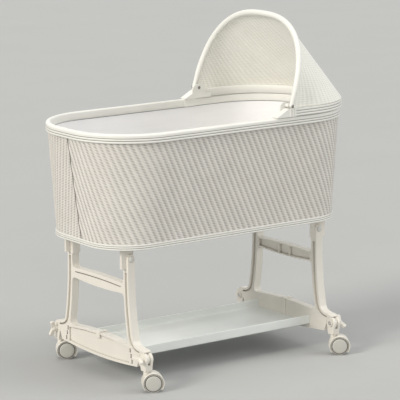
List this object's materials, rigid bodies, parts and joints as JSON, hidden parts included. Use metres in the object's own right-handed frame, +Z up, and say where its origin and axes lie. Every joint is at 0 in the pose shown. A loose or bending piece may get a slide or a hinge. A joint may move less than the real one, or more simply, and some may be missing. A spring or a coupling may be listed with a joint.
{
  "type": "nursery bassinet",
  "caption": "Oval woven bassinet with a ridged rim and a fold-back hood, on a rocking stand with a shelf and swing-up swivel casters clamped by wing knobs.",
  "frame": {"origin": "on the floor, under the middle of the part", "axes": "+X towards the hood end, -Y towards the front long side, +Z up"},
  "size_m": [0.804, 0.4718, 0.8894],
  "materials": {
    "woven_vinyl": "flat woven vinyl strips, warm grey and off-white, satin",
    "liner_board": "smooth white faced board",
    "ivory_plastic": "ivory moulded plastic, satin gloss, ridged along its length",
    "frame_plastic": "cream moulded plastic, satin gloss",
    "shelf_plastic": "white moulded plastic, glossy",
    "wheel_plastic": "pale grey hard plastic with a moulded tread",
    "pad_cloth": "white cotton cover over a foam pad",
    "zinc_steel": "zinc plated steel"
  },
  "bodies": {
    "bassinet": {"woven_cover": "woven_vinyl", "basket_wall": "liner_board", "basket_floor": "liner_board", "top_rim": "ivory_plastic", "base_trim": "ivory_plastic", "mattress_pad": "pad_cloth", "end_frame_left": "frame_plastic", "end_frame_right": "frame_plastic", "shelf_tray": "shelf_plastic", "hood_rail": "ivory_plastic", "hood_clip_front": "ivory_plastic", "hood_clip_rear": "ivory_plastic", "hood_rivet_front": "zinc_steel", "hood_rivet_rear": "zinc_steel", "hood_skin": "woven_vinyl", "leg_socket_front_left": "frame_plastic", "button_spring_front_left": "zinc_steel", "leg_socket_front_right": "frame_plastic", "button_spring_front_right": "zinc_steel", "leg_socket_rear_left": "frame_plastic", "button_spring_rear_left": "zinc_steel", "leg_socket_rear_right": "frame_plastic", "button_spring_rear_right": "zinc_steel"},
    "hood_bow": {"hood_bow": "ivory_plastic"},
    "button_front_left": {"release_button_front_left": "ivory_plastic"},
    "arm_front_left": {"caster_arm_front_left": "frame_plastic", "clamp_nut_front_left": "zinc_steel"},
    "knob_front_left": {"wing_knob_front_left": "frame_plastic"},
    "caster_front_left": {"caster_housing_front_left": "frame_plastic", "caster_stem_front_left": "zinc_steel", "caster_axle_front_left": "zinc_steel"},
    "wheel_a_front_left": {"wheel_a_front_left": "wheel_plastic"},
    "wheel_b_front_left": {"wheel_b_front_left": "wheel_plastic"},
    "button_front_right": {"release_button_front_right": "ivory_plastic"},
    "arm_front_right": {"caster_arm_front_right": "frame_plastic", "clamp_nut_front_right": "zinc_steel"},
    "knob_front_right": {"wing_knob_front_right": "frame_plastic"},
    "caster_front_right": {"caster_housing_front_right": "frame_plastic", "caster_stem_front_right": "zinc_steel", "caster_axle_front_right": "zinc_steel"},
    "wheel_a_front_right": {"wheel_a_front_right": "wheel_plastic"},
    "wheel_b_front_right": {"wheel_b_front_right": "wheel_plastic"},
    "button_rear_left": {"release_button_rear_left": "ivory_plastic"},
    "arm_rear_left": {"caster_arm_rear_left": "frame_plastic", "clamp_nut_rear_left": "zinc_steel"},
    "knob_rear_left": {"wing_knob_rear_left": "frame_plastic"},
    "caster_rear_left": {"caster_housing_rear_left": "frame_plastic", "caster_stem_rear_left": "zinc_steel", "caster_axle_rear_left": "zinc_steel"},
    "wheel_a_rear_left": {"wheel_a_rear_left": "wheel_plastic"},
    "wheel_b_rear_left": {"wheel_b_rear_left": "wheel_plastic"},
    "button_rear_right": {"release_button_rear_right": "ivory_plastic"},
    "arm_rear_right": {"caster_arm_rear_right": "frame_plastic", "clamp_nut_rear_right": "zinc_steel"},
    "knob_rear_right": {"wing_knob_rear_right": "frame_plastic"},
    "caster_rear_right": {"caster_housing_rear_right": "frame_plastic", "caster_stem_rear_right": "zinc_steel", "caster_axle_rear_right": "zinc_steel"},
    "wheel_a_rear_right": {"wheel_a_rear_right": "wheel_plastic"},
    "wheel_b_rear_right": {"wheel_b_rear_right": "wheel_plastic"}
  },
  "joints": [
    {"name": "hood_fold", "type": "hinge", "parent": "bassinet", "child": "hood_bow", "pos_m": [0.147, 0, 0.6727], "axis": [0, 1, 0], "range_deg": [0, 60], "deforming": ["hood_skin"]},
    {"name": "press_front_left", "type": "slide", "parent": "bassinet", "child": "button_front_left", "axis": [0, 1, 0], "range_m": [0, 0.006], "stiffness_N_per_m": 500, "springref_m": -0.003, "deforming": ["button_spring_front_left"]},
    {"name": "arm_fold_front_left", "type": "hinge", "parent": "bassinet", "child": "arm_front_left", "pos_m": [-0.2965, -0.198, 0.084], "axis": [-1, 0, 0], "range_deg": [0, 100]},
    {"name": "knob_turn_front_left", "type": "hinge", "parent": "arm_front_left", "child": "knob_front_left", "pos_m": [-0.2965, -0.198, 0.084], "axis": [-1, 0, 0], "continuous": true},
    {"name": "swivel_front_left", "type": "hinge", "parent": "arm_front_left", "child": "caster_front_left", "pos_m": [-0.2965, -0.198, 0.06], "axis": [0, 0, 1], "continuous": true},
    {"name": "roll_a_front_left", "type": "hinge", "parent": "caster_front_left", "child": "wheel_a_front_left", "pos_m": [-0.28269, -0.20504, 0.02363], "axis": [0.454, 0.891, 0], "continuous": true},
    {"name": "roll_b_front_left", "type": "hinge", "parent": "caster_front_left", "child": "wheel_b_front_left", "pos_m": [-0.28269, -0.20504, 0.02363], "axis": [0.454, 0.891, 0], "continuous": true},
    {"name": "press_front_right", "type": "slide", "parent": "bassinet", "child": "button_front_right", "axis": [0, 1, 0], "range_m": [0, 0.006], "stiffness_N_per_m": 500, "springref_m": -0.003, "deforming": ["button_spring_front_right"]},
    {"name": "arm_fold_front_right", "type": "hinge", "parent": "bassinet", "child": "arm_front_right", "pos_m": [0.2965, -0.198, 0.084], "axis": [-1, 0, 0], "range_deg": [0, 100]},
    {"name": "knob_turn_front_right", "type": "hinge", "parent": "arm_front_right", "child": "knob_front_right", "pos_m": [0.2965, -0.198, 0.084], "axis": [1, 0, 0], "continuous": true},
    {"name": "swivel_front_right", "type": "hinge", "parent": "arm_front_right", "child": "caster_front_right", "pos_m": [0.2965, -0.198, 0.06], "axis": [0, 0, 1], "continuous": true},
    {"name": "roll_a_front_right", "type": "hinge", "parent": "caster_front_right", "child": "wheel_a_front_right", "pos_m": [0.30935, -0.20667, 0.02363], "axis": [0.5592, 0.829, 0], "continuous": true},
    {"name": "roll_b_front_right", "type": "hinge", "parent": "caster_front_right", "child": "wheel_b_front_right", "pos_m": [0.30935, -0.20667, 0.02363], "axis": [0.5592, 0.829, 0], "continuous": true},
    {"name": "press_rear_left", "type": "slide", "parent": "bassinet", "child": "button_rear_left", "axis": [0, -1, 0], "range_m": [0, 0.006], "stiffness_N_per_m": 500, "springref_m": -0.003, "deforming": ["button_spring_rear_left"]},
    {"name": "arm_fold_rear_left", "type": "hinge", "parent": "bassinet", "child": "arm_rear_left", "pos_m": [-0.2965, 0.198, 0.084], "axis": [1, 0, 0], "range_deg": [0, 100]},
    {"name": "knob_turn_rear_left", "type": "hinge", "parent": "arm_rear_left", "child": "knob_rear_left", "pos_m": [-0.2965, 0.198, 0.084], "axis": [-1, 0, 0], "continuous": true},
    {"name": "swivel_rear_left", "type": "hinge", "parent": "arm_rear_left", "child": "caster_rear_left", "pos_m": [-0.2965, 0.198, 0.06], "axis": [0, 0, 1], "continuous": true},
    {"name": "roll_a_rear_left", "type": "hinge", "parent": "caster_rear_left", "child": "wheel_a_rear_left", "pos_m": [-0.28269, 0.19096, 0.02363], "axis": [0.454, 0.891, 0], "continuous": true},
    {"name": "roll_b_rear_left", "type": "hinge", "parent": "caster_rear_left", "child": "wheel_b_rear_left", "pos_m": [-0.28269, 0.19096, 0.02363], "axis": [0.454, 0.891, 0], "continuous": true},
    {"name": "press_rear_right", "type": "slide", "parent": "bassinet", "child": "button_rear_right", "axis": [0, -1, 0], "range_m": [0, 0.006], "stiffness_N_per_m": 500, "springref_m": -0.003, "deforming": ["button_spring_rear_right"]},
    {"name": "arm_fold_rear_right", "type": "hinge", "parent": "bassinet", "child": "arm_rear_right", "pos_m": [0.2965, 0.198, 0.084], "axis": [1, 0, 0], "range_deg": [0, 100]},
    {"name": "knob_turn_rear_right", "type": "hinge", "parent": "arm_rear_right", "child": "knob_rear_right", "pos_m": [0.2965, 0.198, 0.084], "axis": [1, 0, 0], "continuous": true},
    {"name": "swivel_rear_right", "type": "hinge", "parent": "arm_rear_right", "child": "caster_rear_right", "pos_m": [0.2965, 0.198, 0.06], "axis": [0, 0, 1], "continuous": true},
    {"name": "roll_a_rear_right", "type": "hinge", "parent": "caster_rear_right", "child": "wheel_a_rear_right", "pos_m": [0.30935, 0.20667, 0.02363], "axis": [-0.5592, 0.829, 0], "continuous": true},
    {"name": "roll_b_rear_right", "type": "hinge", "parent": "caster_rear_right", "child": "wheel_b_rear_right", "pos_m": [0.30935, 0.20667, 0.02363], "axis": [-0.5592, 0.829, 0], "continuous": true}
  ]
}
